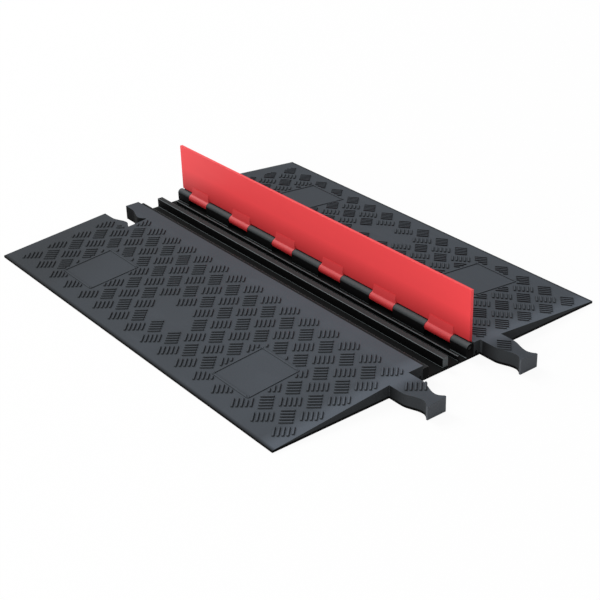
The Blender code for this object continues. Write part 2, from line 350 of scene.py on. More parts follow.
@dataclass(frozen=True)
class MouldedRubber:
    """Black moulded rubber: pebble grain, mottling, scuffs, tops lightened by dust and a painted
    sheen, painted highlights, and painted shade at the foot.

    The tops' dust and painted sheen grow from the far toe towards the connectors as a painted light
    gradient, are strongest on the strip in front of them and fade along them.
    Painted shade darkens the walls most at the connectors' roots.
    """

    name: str
    side: Colour
    # The tops' colour of dust with a painted sheen, the painted highlight colour, and the painted
    # shade colour.
    dust_and_sheen: Colour
    painted_highlight: Colour
    painted_shade: Colour
    roughness: float
    gloss: float
    mottle: Pattern = Pattern(11.0, 5.0, limits=(0.30, 0.72))
    speck: Pattern = Pattern(310.0, 2.0)
    scuff: Pattern = Pattern(24.0, 3.0, (0.35, 1.6, 1.0), (0.55, 0.80))
    pebble: Pattern = Pattern(620.0, 3.0)
    grain_strength: float = 0.5
    grain_depth: float = 0.00016
    slant: float = 0.65
    # A painted light gradient lightens the tops from the far toe towards the connectors; the strip in
    # front of them is lighter still and fades along them, and the plateau is a little lighter.
    far_painted_light: Fade = Fade(0.16, -0.61, -0.41)
    near_painted_light: Fade = Fade(0.20, -0.41, 0.24)
    end_strip: Fade = Fade(0.56, 0.415, 0.450)
    connector_thinning: Fade = Fade(0.68, 0.454, 0.488)
    crest: Fade = Fade(0.12, 0.0278, 0.0297)
    # Painted shade on the walls at the connectors' roots, fading out along them.
    root_painted_shade: Fade = Fade(0.75, 0.4575, 0.4590)
    root_shade_fade: Fade = Fade(0.75, 0.460, 0.500)
    top_facing: Limits = (0.55, 0.97)
    # Below this height the rubber takes the painted shade colour.
    foot_height: Limits = (0.0044, 0.0051)
    # The least dust and painted sheen on the tops, and how much it varies at random.
    least_dust_and_sheen: float = 0.08
    mottle_dust: float = 0.11
    speck_dust: float = 0.10
    scuff_dust: float = 0.05
    # Painted highlight: how much shows, with random specks, and how much smoother it is.
    least_highlight: float = 0.75
    speck_highlight: float = 0.50
    mottle_rough: float = 0.10
    highlight_smooth: float = 0.08
    scuff_smooth: float = 0.06

    def build(self) -> bpy.types.Material:
        """Build the finish.

        Returns:
            The material.
        """
        tree = material_tree(self.name)
        place = tree.place()
        height = tree.axis(place, "Z")
        lengthwise = tree.axis(place, "X")
        slantwise = lengthwise + self.slant * tree.axis(place, "Y")
        upward = tree.axis(tree.node("ShaderNodeNewGeometry", out="Normal"), "Z")
        mottle = self.mottle.over(place)
        speck = self.speck.over(place)
        scuff = self.scuff.over(place)
        highlighted = tree.mark(PAINTED_HIGHLIGHT_MARK)

        # The painted light gradient along the ramp, and the lighter strip in front of the connectors.
        painted_light_gradient = self.far_painted_light.over(slantwise) + self.near_painted_light.over(slantwise)
        strip = self.end_strip.over(lengthwise) - self.connector_thinning.over(lengthwise)
        spots = self.mottle_dust * mottle + self.speck_dust * speck + self.scuff_dust * scuff
        # Dust and painted sheen on the tops: the least amount, the painted light gradient, the strip
        # by the connectors, more on the plateau, and random spots.
        dust_and_sheen_amount = self.least_dust_and_sheen + painted_light_gradient + strip + self.crest.over(height) + spots
        dust_and_sheen_cover = tree.spread(upward, *self.top_facing) * dust_and_sheen_amount

        # Painted shade on the walls at the connectors' roots.
        root = self.root_painted_shade.over(lengthwise) - self.root_shade_fade.over(lengthwise)
        wall_with_shade = tree.mix(root, opaque(self.side), opaque(self.painted_shade))
        # Upward faces take the colour of dust with a painted sheen.
        dust_and_sheen_tone = tree.mix(dust_and_sheen_cover, wall_with_shade, opaque(self.dust_and_sheen))
        # Painted shade below the foot's height and on faces marked for painted shade.
        above_foot = tree.spread(height, *self.foot_height)
        with_painted_shade = tree.mix(above_foot - tree.mark(PAINTED_SHADE_MARK), opaque(self.painted_shade), dust_and_sheen_tone)
        # Painted highlight on faces marked for it.
        highlight_share = highlighted * (self.least_highlight + self.speck_highlight * speck)
        smooth = self.highlight_smooth * highlighted + self.scuff_smooth * scuff
        return tree.surface({
            "Base Color": tree.mix(highlight_share, with_painted_shade, opaque(self.painted_highlight)),
            "Roughness": self.roughness + self.mottle_rough * mottle - smooth,
            "Normal": tree.relief(self.pebble.over(place), self.grain_strength, self.grain_depth),
            "Specular IOR Level": self.gloss,
        })


@dataclass(frozen=True)
class SatinPlastic:
    """Moulded plastic: faint flow marks, fine grain, painted highlights on marked faces, and a
    painted shade colour mixed in towards the bottom.
    """

    name: str
    colour: Colour
    # The painted shade colour, mixed in towards the bottom, and the painted highlight colour.
    shade: Colour
    painted_highlight: Colour
    roughness: float
    gloss: float
    flow: Pattern = Pattern(7.0, 3.0, (0.4, 1.0, 1.5), (0.30, 0.75))
    scuff: Pattern = Pattern(60.0, 4.0, (0.3, 1.0, 1.2), (0.56, 0.80))
    grain: Pattern = Pattern(900.0, 2.0)
    grain_strength: float = 0.4
    grain_depth: float = 0.00006
    # Heights over which the painted shade fades out, and how much of it shows.
    sunk_z: float = 0.026
    clear_z: float = 0.082
    flow_shade: float = 0.10
    grain_shade: float = 0.06
    low_shade: float = 0.93
    # Painted highlight: how much shows, with the grain.
    least_highlight: float = 0.70
    grain_highlight: float = 0.30
    flow_rough: float = 0.10
    scuff_smooth: float = 0.08

    def build(self) -> bpy.types.Material:
        """Build the finish.

        Returns:
            The material.
        """
        tree = material_tree(self.name)
        place = tree.place()
        flow = self.flow.over(place)
        grain = self.grain.over(place)
        # Painted shade towards the bottom, with the flow marks and grain.
        low = 1.0 - tree.spread(tree.axis(place, "Z"), self.sunk_z, self.clear_z)
        shading = self.flow_shade * flow + self.grain_shade * grain + self.low_shade * low
        even = tree.mix(shading, opaque(self.colour), opaque(self.shade))
        # Painted highlight on faces marked for it.
        highlight_share = tree.mark(PAINTED_HIGHLIGHT_MARK) * (self.least_highlight + self.grain_highlight * grain)
        smooth = self.scuff_smooth * self.scuff.over(place)
        return tree.surface({
            "Base Color": tree.mix(highlight_share, even, opaque(self.painted_highlight)),
            "Roughness": self.roughness + self.flow_rough * flow - smooth,
            "Normal": tree.relief(grain, self.grain_strength, self.grain_depth),
            "Specular IOR Level": self.gloss,
        })


@dataclass(frozen=True)
class DrawnSteel:
    """Drawn steel bar: fine lines along its length and a few dull patches."""

    name: str
    colour: Colour
    dull: Colour
    lines: Pattern = Pattern(900.0, 2.0, (0.02, 1.0, 1.0))
    patch: Pattern = Pattern(40.0, 3.0, limits=(0.45, 0.75))
    line_strength: float = 0.3
    line_depth: float = 0.00003
    patch_dull: float = 0.5
    line_dull: float = 0.2
    least_rough: float = 0.26
    patch_rough: float = 0.22

    def build(self) -> bpy.types.Material:
        """Build the finish.

        Returns:
            The material.
        """
        tree = material_tree(self.name)
        place = tree.place()
        lines = self.lines.over(place)
        patch = self.patch.over(place)
        dullness = self.patch_dull * patch + self.line_dull * lines
        return tree.surface({
            "Base Color": tree.mix(dullness, opaque(self.colour), opaque(self.dull)),
            "Roughness": self.least_rough + self.patch_rough * patch,
            "Normal": tree.relief(lines, self.line_strength, self.line_depth),
            "Metallic": 1.0,
        })


@dataclass(frozen=True)
class PaleFloor:
    """The studio floor: pale and matt, shown near white, with the object's shadow on it."""

    name: str
    colour: Colour
    whiteness: float

    def build(self) -> bpy.types.Material:
        """Build the finish.

        Returns:
            The material.
        """
        tree = material_tree(self.name)
        matt = tree.node("ShaderNodeBsdfDiffuse", None, {"Color": opaque(self.colour)})
        white = tree.node("ShaderNodeEmission", None, {"Color": opaque(WHITE), "Strength": 1.0})
        shown = seen_directly(tree) * self.whiteness
        tree.close(tree.node("ShaderNodeMixShader", None, {0: shown, 1: matt, 2: white}))
        return tree.owner


# The ramps: tops lightened by dust and a painted sheen, painted highlights on edges and tips, and
# painted shade at the foot, the roots and the slot.
RAMP_RUBBER = MouldedRubber(
    name="ramp_moulded_rubber",
    side=(0.033, 0.036, 0.039),
    dust_and_sheen=(0.098, 0.113, 0.134),
    painted_highlight=(0.096, 0.104, 0.116),
    painted_shade=(0.002, 0.002, 0.002),
    roughness=0.66,
    gloss=0.04,
)
# The tray: near-black, with dust and a painted sheen on its tops, painted highlight lines on its
# edges and barrels, and its floor in painted shade.
TRAY_RUBBER = MouldedRubber(
    name="tray_moulded_rubber",
    side=(0.0030, 0.0030, 0.0032),
    dust_and_sheen=(0.0285, 0.0330, 0.0345),
    painted_highlight=(0.136, 0.154, 0.160),
    painted_shade=(0.0030, 0.0030, 0.0030),
    roughness=0.62,
    gloss=0.04,
)
# The lid: red, with painted shade towards the hinge and painted pink highlights on its edges,
# knuckles and gussets.
LID_PLASTIC = SatinPlastic(
    name="lid_red_plastic",
    colour=(0.92, 0.068, 0.076),
    shade=(0.42, 0.020, 0.023),
    painted_highlight=(0.95, 0.17, 0.19),
    roughness=0.50,
    gloss=0.25,
)
# The plugs: black, with painted highlights on their chamfers.
PLUG_PLASTIC = SatinPlastic(
    name="plug_black_plastic",
    colour=(0.010, 0.010, 0.011),
    shade=(0.018, 0.018, 0.019),
    painted_highlight=(0.040, 0.040, 0.042),
    roughness=0.55,
    gloss=0.2,
)
ROD_STEEL = DrawnSteel(
    name="hinge_rod_drawn_steel", colour=(0.46, 0.47, 0.49), dull=(0.30, 0.30, 0.31))
FLOOR_FINISH = PaleFloor(name="studio_floor", colour=(0.94, 0.94, 0.94), whiteness=0.93)


def node_copy(node: str) -> bmesh.types.BMesh:
    """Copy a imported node's mesh, with its loose triangles merged and no face marked yet.

    Args:
        node: The node's name.

    Returns:
        The merged mesh.
    """
    bm = bmesh.new()
    bm.from_mesh(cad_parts[node].data)
    bm.faces.layers.float.new(PAINTED_HIGHLIGHT_MARK)
    bm.faces.layers.float.new(PAINTED_SHADE_MARK)
    bmesh.ops.remove_doubles(bm, verts=bm.verts[:], dist=MERGE_DISTANCE)
    return bm


def join_flats(bm: bmesh.types.BMesh) -> None:
    """Join the triangles of each flat face."""
    bmesh.ops.dissolve_limit(
        bm, angle_limit=math.radians(FLAT_DEGREES), verts=bm.verts[:], edges=bm.edges[:],
        use_dissolve_boundaries=False)


def turned_edges(
    bm: bmesh.types.BMesh, turn_degrees: float = TURNED_DEGREES,
) -> List[bmesh.types.BMEdge]:
    """Find the edges at which a mesh turns.

    Args:
        bm: The mesh.
        turn_degrees: The least turn.

    Returns:
        The edges that turn by more than that.
    """
    least = math.radians(turn_degrees)
    return [edge for edge in bm.edges if edge.is_manifold and edge.calc_face_angle() > least]


def mark_faces(
    bm: bmesh.types.BMesh, faces: Sequence[bmesh.types.BMFace], layer: str, amount: float,
) -> None:
    """Mark faces with an amount of painted highlight or painted shade.

    Args:
        bm: The mesh.
        faces: The faces.
        layer: Which of the two it is.
        amount: The amount, from 0 to 1.
    """
    marks = bm.faces.layers.float[layer]
    for face in faces:
        face[marks] = amount


def ease_edges(
    bm: bmesh.types.BMesh,
    edges: Sequence[bmesh.types.BMEdge],
    radius: float,
    painted_highlight: float,
    segments: int = 2,
) -> None:
    """Round some edges and mark the rounding with painted highlight.

    Args:
        bm: The mesh.
        edges: The edges.
        radius: The size of the rounding.
        painted_highlight: How much painted highlight it gets, from 0 to 1.
        segments: The facets across the rounding.
    """
    rounding = bmesh.ops.bevel(
        bm, geom=list(edges), offset=radius, offset_type="OFFSET", affect="EDGES",
        segments=segments, profile=0.5, material=-1, clamp_overlap=True, loop_slide=True)
    mark_faces(bm, rounding["faces"], PAINTED_HIGHLIGHT_MARK, painted_highlight)


def hinge_axis() -> Vector:
    """Return the middle of the hinge rod, which the lid turns about."""
    low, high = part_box("hinge_rod")
    return (low + high) / 2


def highlight_barrels(bm: bmesh.types.BMesh, amount: float) -> None:
    """Paint highlights on the upper side of the hinge knuckles' barrels.

    Args:
        bm: The mesh with the knuckles.
        amount: The painted highlight of a face that points straight up, from 0 to 1.
    """
    axis = hinge_axis()
    for face in bm.faces:
        middle = face.calc_center_median()
        reach = math.hypot(middle.y - axis.y, middle.z - axis.z)
        if face.normal.z > BARREL_RISE and abs(reach - BARREL_RADIUS) < BARREL_SLACK:
            mark_faces(bm, [face], PAINTED_HIGHLIGHT_MARK, amount * face.normal.z)


def finished_mesh(name: str, bm: bmesh.types.BMesh) -> bpy.types.Mesh:
    """Turn a bmesh into a mesh.

    Args:
        name: The mesh's name.
        bm: The bmesh, which is used up.

    Returns:
        The mesh.
    """
    mesh = bpy.data.meshes.new(name)
    bm.to_mesh(mesh)
    bm.free()
    return mesh


def add_object(name: str, data: bpy.types.ID) -> bpy.types.Object:
    """Put a new object in the scene.

    Args:
        name: The object's name.
        data: Its mesh, light or camera.

    Returns:
        The object, at the origin.
    """
    made = bpy.data.objects.new(name, data)
    bpy.context.scene.collection.objects.link(made)
    return made


def make_piece(
    name: str,
    bm: bmesh.types.BMesh,
    material: bpy.types.Material,
    body: str,
    replaced: Sequence[str] = (),
) -> None:
    """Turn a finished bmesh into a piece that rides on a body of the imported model.

    Args:
        name: The piece's name.
        bm: Its shape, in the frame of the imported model, which is used up.
        material: Its finish.
        body: The body that it rides on.
        replaced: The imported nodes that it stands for.
    """
    mesh = finished_mesh(name, bm)
    mesh.shade_smooth()
    mesh.set_sharp_from_angle(angle=math.radians(SHARP_DEGREES))
    mesh.materials.append(material)
    piece = add_object(name, mesh)
    weighted = piece.modifiers.new("flat_faces_first", "WEIGHTED_NORMAL")
    weighted.keep_sharp = True
    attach(piece, body)
    if replaced:
        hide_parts(*replaced)
    LOG.info("%s: %d faces on body %s", name, len(mesh.polygons), body)


def append_mesh(bm: bmesh.types.BMesh, mesh: bpy.types.Mesh, place: Matrix) -> None:
    """Add a small mesh to a larger one.

    Args:
        bm: The larger mesh.
        mesh: The small mesh, which is used up.
        place: Where it goes.
    """
    start = len(bm.verts)
    bm.from_mesh(mesh)
    bm.verts.ensure_lookup_table()
    bmesh.ops.transform(bm, matrix=place, verts=bm.verts[start:])
    bpy.data.meshes.remove(mesh)


@dataclass(frozen=True)
class Patch:
    """An upright rectangle in plan."""

    x: float
    y: float
    half_x: float
    half_y: float

    def holds(self, point: Vector) -> bool:
        """Return whether a point in plan lies inside."""
        return abs(point.x - self.x) < self.half_x and abs(point.y - self.y) < self.half_y

    def grown(self, margin: float) -> "Patch":
        """Return the rectangle with a margin all round."""
        return Patch(self.x, self.y, self.half_x + margin, self.half_y + margin)

    def inside(self, start: Vector, end: Vector) -> Limits:
        """Find the stretch of a line that lies inside.

        Args:
            start: One end of the line in plan.
            end: The other end.

        Returns:
            The stretch's two ends as shares of the line, the first above the second if there is none.
        """
        first, last = 0.0, 1.0
        for low, high, a, b in (
            (self.x - self.half_x, self.x + self.half_x, start.x, end.x),
            (self.y - self.half_y, self.y + self.half_y, start.y, end.y),
        ):
            if abs(b - a) < MERGE_DISTANCE:
                if not low < a < high:
                    return 1.0, 0.0
                continue
            near, far = sorted(((low - a) / (b - a), (high - a) / (b - a)))
            first, last = max(first, near), min(last, far)
        return first, last


@dataclass(frozen=True)
class RampTop:
    """The sloping top of a ramp."""

    side: Side
    toe_y: float = abs(CAD_LOW.y)
    toe_z: float = 0.0045
    shoulder_y: float = 0.084
    shoulder_z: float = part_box("channel_tray")[1].z

    @property
    def fall(self) -> float:
        """Return how much the top rises for each metre of Y."""
        run = self.toe_y - self.shoulder_y
        return -self.side.value * (self.shoulder_z - self.toe_z) / run

    def height(self, y: float) -> float:
        """Return the height of the slope at some Y."""
        return self.toe_z + self.fall * (y - self.side.value * self.toe_y)

    def over(self, point: Vector) -> float:
        """Return how far a point lies over the slope."""
        return point.z - self.height(point.y)

    def place(self, spot: Vector, along: Vector) -> Matrix:
        """Find where something that lies on the slope goes.

        Args:
            spot: Its middle in plan.
            along: The direction of its length in plan.

        Returns:
            Its placement, with its own Z square to the slope.
        """
        length = Vector((along.x, along.y, along.y * self.fall)).normalized()
        up = Vector((0.0, -self.fall, 1.0)).normalized()
        turn = Matrix((length, up.cross(length), up)).transposed().to_4x4()
        return Matrix.Translation((spot.x, spot.y, self.height(spot.y))) @ turn


@dataclass(frozen=True)
class TreadBar:
    """One raised bar of the tread: a low ridge with sloping sides and rounded ends."""

    length: float = 0.0250
    foot: float = 0.0050
    crown: float = 0.0032
    height: float = 0.0024
    sink: float = 0.0006
    corner: float = 0.0014
    ease: float = 0.0005

    def template(self, length: float) -> bpy.types.Mesh:
        """Build one bar along X with its foot just under the ground.

        Args:
            length: The bar's length.

        Returns:
            The bar's mesh.
        """
        bm = bmesh.new()
        bmesh.ops.create_cube(bm, size=1.0)
        bmesh.ops.scale(bm, vec=(length, self.foot, self.height + self.sink), verts=bm.verts[:])
        lift = (self.height - self.sink) / 2
        bmesh.ops.translate(bm, vec=(0.0, 0.0, lift), verts=bm.verts[:])
        draft = self.foot - self.crown
        taper = ((length - draft) / length, self.crown / self.foot, 1.0)
        bmesh.ops.scale(bm, vec=taper, verts=[vert for vert in bm.verts if vert.co.z > 0.0])
        posts = [edge for edge in bm.edges
                 if abs(edge.verts[0].co.z - edge.verts[1].co.z) > self.sink]
        bmesh.ops.bevel(
            bm, geom=posts, offset=self.corner, affect="EDGES", segments=2, profile=0.5, material=-1)
        rim = [edge for edge in bm.edges
               if min(vert.co.z for vert in edge.verts) > self.height - self.sink]
        bmesh.ops.bevel(
            bm, geom=rim, offset=self.ease, affect="EDGES", segments=1, profile=0.5, material=-1)
        return finished_mesh("tread_bar", bm)


@dataclass
class TreadField:
    """A field of five-bar tiles laid basket fashion, trimmed round what it must keep clear of."""

    limits: Patch
    trims: Sequence[Patch]
    gaps: Sequence[Patch]
    bar: TreadBar = field(default_factory=TreadBar)
    bars_to_tile: int = 5
    bar_pitch: float = 0.0080
    shortest: float = 0.0090

    def lines(self, spot: Vector, lean: Lean) -> List[Line]:
        """Lay out the bars of one tile.

        Args:
            spot: The tile's middle in plan.
            lean: The way its bars lie.

        Returns:
            The two ends of each bar in plan.
        """
        along = Vector(lean.value).normalized()
        step = Vector((-along.y, along.x)) * self.bar_pitch
        half = along * self.bar.length / 2
        middle = (self.bars_to_tile - 1) / 2
        centres = [spot + step * (index - middle) for index in range(self.bars_to_tile)]
        return [(centre - half, centre + half) for centre in centres]

    def trimmed(self, start: Vector, end: Vector) -> List[Line]:
        """Cut a bar back to the field's limits and round the places that it keeps clear of.

        Args:
            start: One end of the bar in plan.
            end: The other end.

        Returns:
            The stretches of the bar that are left.
        """
        stretches = [self.limits.inside(start, end)]
        for trim in self.trims:
            first, last = trim.inside(start, end)
            if first < last:
                before = [(a, min(b, first)) for a, b in stretches]
                after = [(max(a, last), b) for a, b in stretches]
                stretches = before + after
        length = (end - start).length
        kept = [(a, b) for a, b in stretches if (b - a) * length > self.shortest]
        return [(start.lerp(end, a), start.lerp(end, b)) for a, b in kept]

    def bars(self, tiles: Sequence[Tile]) -> List[Line]:
        """Lay out the bars of many tiles.

        Args:
            tiles: The middle and the lean of each tile.

        Returns:
            The two ends of each bar that is left after trimming.
        """
        kept = []
        for spot, lean in tiles:
            if any(gap.holds(spot) for gap in self.gaps):
                continue
            for start, end in self.lines(spot, lean):
                kept += self.trimmed(start, end)
        return kept


def lay_bars(
    lines: Sequence[Line], bar: TreadBar, place: Callable[[Vector, Vector], Matrix],
) -> bmesh.types.BMesh:
    """Lay bars on a face.

    Args:
        lines: The two ends of each bar in the face's own plan.
        bar: The bar's shape.
        place: What finds a placement from a middle and a direction in that plan.

    Returns:
        The mesh of all the bars.
    """
    bm = bmesh.new()
    for start, end in lines:
        mesh = bar.template((end - start).length)
        append_mesh(bm, mesh, place((start + end) / 2, end - start))
    return bm


@dataclass
class Ramp:
    """One tread ramp: its moulded body with connector and slot, its tread and its framed plates.

    The tread and the plates are laid out in plan on the front ramp, and the rear ramp mirrors them.
    """

    side: Side
    edge_radius: float = 0.0008
    # The painted highlight on the rounded edges.
    edge_highlight: float = 0.35
    edge_degrees: float = 30.0
    wall_rise: float = 0.3
    ridge_least: float = 0.0005
    pitch_x: float = 0.0562
    pitch_y: float = 0.0575
    first_row: float = 0.1021
    rows: int = 9
    tile_x: float = 0.0101
    columns: int = 8
    middle_x: float = 0.0044
    left_margin: float = 0.0335
    end_margin: float = 0.008
    plate_x: float = 0.2588
    plate_y: float = 0.2632
    plate_half_x: float = 0.0535
    plate_half_y: float = 0.0560
    frame_width: float = 0.0042
    frame_height: float = 0.0014
    frame_corner: float = 0.0040
    frame_ease: float = 0.00084
    clear_of_frame: float = 0.0030
    connector_y: float = 0.1074
    connector_tile: Tuple[float, float] = (0.4915, 0.1029)
    tip_reach: float = 0.0873
    # The painted light on the connector's tip end faces.
    tip_light: float = 0.8
    slot_reach: float = 0.0970
    slot_side: float = 0.0308
    # The painted shade in the slot and on the left end.
    slot_shade: float = 0.85
    gap_half_x: float = 0.060
    gap_half_y: float = 0.020

    def __post_init__(self) -> None:
        """Work out the ramp's top, its inner edge, its plates and its slot."""
        self.top = RampTop(self.side)
        self.end_x = abs(CAD_LOW.x)
        self.inner_y = min(abs(corner.y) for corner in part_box(self.side.label))
        self.slot = Patch(-self.end_x, -self.connector_y, self.slot_reach, self.slot_side)
        self.plates = []
        for end in End:
            x = self.middle_x + end.value * self.plate_x
            self.plates.append(Patch(x, -self.plate_y, self.plate_half_x, self.plate_half_y))

    def face(self, point: Vector) -> Vector:
        """Return where a point or direction of the front ramp's plan lies on this ramp."""
        return Vector((point.x, -self.side.value * point.y))

    def build(self, rubber: bpy.types.Material) -> None:
        """Build and dress the ramp's pieces.

        Args:
            rubber: The finish of all of them.
        """
        label = self.side.label
        make_piece(f"{label}_body", self.body(), rubber, "base", [label])
        make_piece(f"{label}_tread", self.tread(), rubber, "base")
        make_piece(f"{label}_plates", self.frames(), rubber, "base")

    def body(self) -> bmesh.types.BMesh:
        """Build the moulded body, bare of its tread.

        Returns:
            The body, with its edges rounded and its faces marked for painted highlight and painted
            shade.
        """
        bm = node_copy(self.side.label)
        self.bare_slope(bm)
        join_flats(bm)
        edges = [edge for edge in turned_edges(bm, self.edge_degrees)
                 if min(face.normal.z for face in edge.link_faces) < self.wall_rise]
        # The rounded edges get a painted highlight.
        ease_edges(bm, edges, self.edge_radius, self.edge_highlight)
        self.mark_body(bm)
        return bm

    def bare_slope(self, bm: bmesh.types.BMesh) -> None:
        """Take the ridges off the sloping top and close it again within its outline.

        Args:
            bm: The body's mesh.
        """
        crowns = [vert for vert in bm.verts if self.top.over(vert.co) > self.ridge_least]
        bmesh.ops.delete(bm, geom=crowns, context="VERTS")
        slope = [face for face in bm.faces
                 if all(abs(self.top.over(vert.co)) < self.ridge_least for vert in face.verts)]
        bmesh.ops.delete(bm, geom=slope, context="FACES")
        bmesh.ops.holes_fill(bm, edges=[edge for edge in bm.edges if edge.is_boundary])
        bmesh.ops.recalc_face_normals(bm, faces=bm.faces[:])

    def mark_body(self, bm: bmesh.types.BMesh) -> None:
        """Mark painted light on the connector's tip, and painted shade on the left end and in the
        slot.

        Args:
            bm: The body's mesh, with its edges rounded.
        """
        middles = [(face, face.calc_center_median()) for face in bm.faces]
        walls = [(face, middle) for face, middle in middles if abs(face.normal.z) < self.wall_rise]
        unhighlighted = [face for face, middle in middles if self.is_unhighlighted(middle)]
        left = [face for face, middle in middles if middle.x < self.edge_radius - self.end_x]
        tips = [face for face, middle in walls if middle.x > self.end_x + self.tip_reach]
        slot = [face for face, middle in walls if self.slot.holds(self.face(middle))]
        # No painted highlight below the toe, along the tray or on the left end; painted light on the
        # tips; painted shade on the left end and in the slot.
        mark_faces(bm, unhighlighted + left, PAINTED_HIGHLIGHT_MARK, 0.0)
        mark_faces(bm, tips, PAINTED_HIGHLIGHT_MARK, self.tip_light)
        mark_faces(bm, left + slot, PAINTED_SHADE_MARK, self.slot_shade)

    def is_unhighlighted(self, point: Vector) -> bool:
        """Return whether a point lies below the toe's edge or along the tray, where no painted
        highlight goes.
        """
        return point.z < self.top.toe_z or abs(point.y) < self.inner_y + self.edge_radius

    def tiles(self) -> List[Tile]:
        """Lay out the tiles of the basket.

        Returns:
            The middle and the lean of every tile.
        """
        found = []
        for row in range(self.rows):
            lean = Lean.RISING if row % 2 else Lean.FALLING
            shift = 0.0 if row % 2 else self.pitch_x / 2
            y = -self.first_row - row * self.pitch_y / 2
            found += [(Vector((self.tile_x + shift + column * self.pitch_x, y)), lean)
                      for column in range(-self.columns, self.columns)]
        return found

    def tread(self) -> bmesh.types.BMesh:
        """Build the raised bars of the tread and of the tile on the connector.

        Returns:
            The mesh of all the bars.
        """
        bar = TreadBar()
        near, far = self.top.shoulder_y + bar.foot / 2, self.top.toe_y - self.end_margin
        left, right = self.left_margin - self.end_x, self.end_x - self.end_margin
        limits = Patch((left + right) / 2, -(near + far) / 2, (right - left) / 2, (far - near) / 2)
        trims = [plate.grown(self.clear_of_frame) for plate in self.plates] + [self.slot]
        gaps = [Patch(self.middle_x, -self.plate_y, self.gap_half_x, self.gap_half_y)]
        tread = TreadField(limits, trims, gaps, bar)
        tile_x, tile_y = self.connector_tile
        bars = tread.bars(self.tiles()) + tread.lines(Vector((tile_x, -tile_y)), Lean.FALLING)
        return lay_bars(
            [(self.face(start), self.face(end)) for start, end in bars], bar, self.top.place)

    def frames(self) -> bmesh.types.BMesh:
        """Lay a raised frame round each of the two plain plates.

        Returns:
            The mesh of both frames.
        """
        bm = bmesh.new()
        for plate in self.plates:
            middle = self.face(Vector((plate.x, plate.y)))
            append_mesh(bm, self.ring(plate), self.top.place(middle, Vector((1.0, 0.0))))
        return bm

    def ring(self, plate: Patch) -> bpy.types.Mesh:
        """Build the frame of a plate, flat about its own middle.

        Args:
            plate: The plate.

        Returns:
            The frame's mesh.
        """
        bm = bmesh.new()
        bmesh.ops.create_grid(bm, x_segments=1, y_segments=1, size=1.0)
        bmesh.ops.scale(bm, vec=(plate.half_x, plate.half_y, 1.0), verts=bm.verts[:])
        bmesh.ops.bevel(
            bm, geom=bm.verts[:], offset=self.frame_corner, affect="VERTICES", segments=4,
            profile=0.5, material=-1)
        inner = bm.faces[:]
        bmesh.ops.inset_region(
            bm, faces=inner, thickness=self.frame_width, use_even_offset=True, use_boundary=True)
        bmesh.ops.delete(bm, geom=inner, context="FACES_ONLY")
        raised = bmesh.ops.extrude_face_region(bm, geom=bm.faces[:])["geom"]
        lifted = {item for item in raised if isinstance(item, bmesh.types.BMVert)}
        sunk = [vert for vert in bm.verts if vert not in lifted]
        bmesh.ops.translate(bm, vec=(0.0, 0.0, self.frame_height), verts=list(lifted))
        bmesh.ops.translate(bm, vec=(0.0, 0.0, -self.frame_height / 2), verts=sunk)
        bmesh.ops.recalc_face_normals(bm, faces=bm.faces[:])
        rim = [edge for edge in turned_edges(bm) if min(vert.co.z for vert in edge.verts) > 0.0]
        bmesh.ops.bevel(
            bm, geom=rim, offset=self.frame_ease, affect="EDGES", segments=2, profile=0.5,
            material=-1)
        return finished_mesh("plate_frame", bm)


@dataclass
class Tray:
    """The channel tray with its divider, rib and hinge knuckles."""

    edge_radius: float = 0.0009
    # The painted highlight lines on the rounded long edges.
    edge_highlight: float = 1.0
    long_edge: float = 0.020
    floor_z: float = 0.0045
    seat_z: float = 0.0230
    divider_y: float = 0.004
    divider_half: float = 0.004
    # Painted light on the divider's ends and top, and a painted highlight on the barrels' tops.
    divider_end_light: float = 0.7
    divider_top_light: float = 0.17
    barrel_highlight: float = 0.6

    def build(self, rubber: bpy.types.Material) -> None:
        """Build and dress the tray.

        Args:
            rubber: Its finish.
        """
        bm = node_copy("channel_tray")
        join_flats(bm)
        bmesh.ops.bisect_plane(
            bm, geom=bm.verts[:] + bm.edges[:] + bm.faces[:], dist=MERGE_DISTANCE,
            plane_co=(0.0, 0.0, self.floor_z), plane_no=(0.0, 0.0, 1.0))
        # The rounded long edges get painted highlight lines.
        ease_edges(bm, self.long_edges(bm), self.edge_radius, self.edge_highlight)
        # Painted light on the divider's ends and top, and a painted highlight on the barrels' tops.
        ends = [face for face in bm.faces if self.is_divider_end(face)]
        tops = [face for face in bm.faces if self.is_divider_top(face)]
        mark_faces(bm, ends, PAINTED_HIGHLIGHT_MARK, self.divider_end_light)
        mark_faces(bm, tops, PAINTED_HIGHLIGHT_MARK, self.divider_top_light)
        highlight_barrels(bm, self.barrel_highlight)
        make_piece("channel_tray_body", bm, rubber, "base", ["channel_tray"])

    def long_edges(self, bm: bmesh.types.BMesh) -> List[bmesh.types.BMEdge]:
        """Return the turned edges that run a good way along the cables."""
        return [edge for edge in turned_edges(bm)
                if abs(edge.verts[0].co.x - edge.verts[1].co.x) > self.long_edge]

    def on_divider(self, point: Vector, least_z: float) -> bool:
        """Return whether a point lies on the divider and above a height."""
        return point.z > least_z and abs(point.y - self.divider_y) < self.divider_half

    def is_divider_end(self, face: bmesh.types.BMFace) -> bool:
        """Return whether a face is an end of the divider."""
        middle = face.calc_center_median()
        return abs(face.normal.x) > FACING and self.on_divider(middle, self.floor_z)

    def is_divider_top(self, face: bmesh.types.BMFace) -> bool:
        """Return whether a face is the top of the divider."""
        middle = face.calc_center_median()
        return face.normal.z > FACING and self.on_divider(middle, self.seat_z)


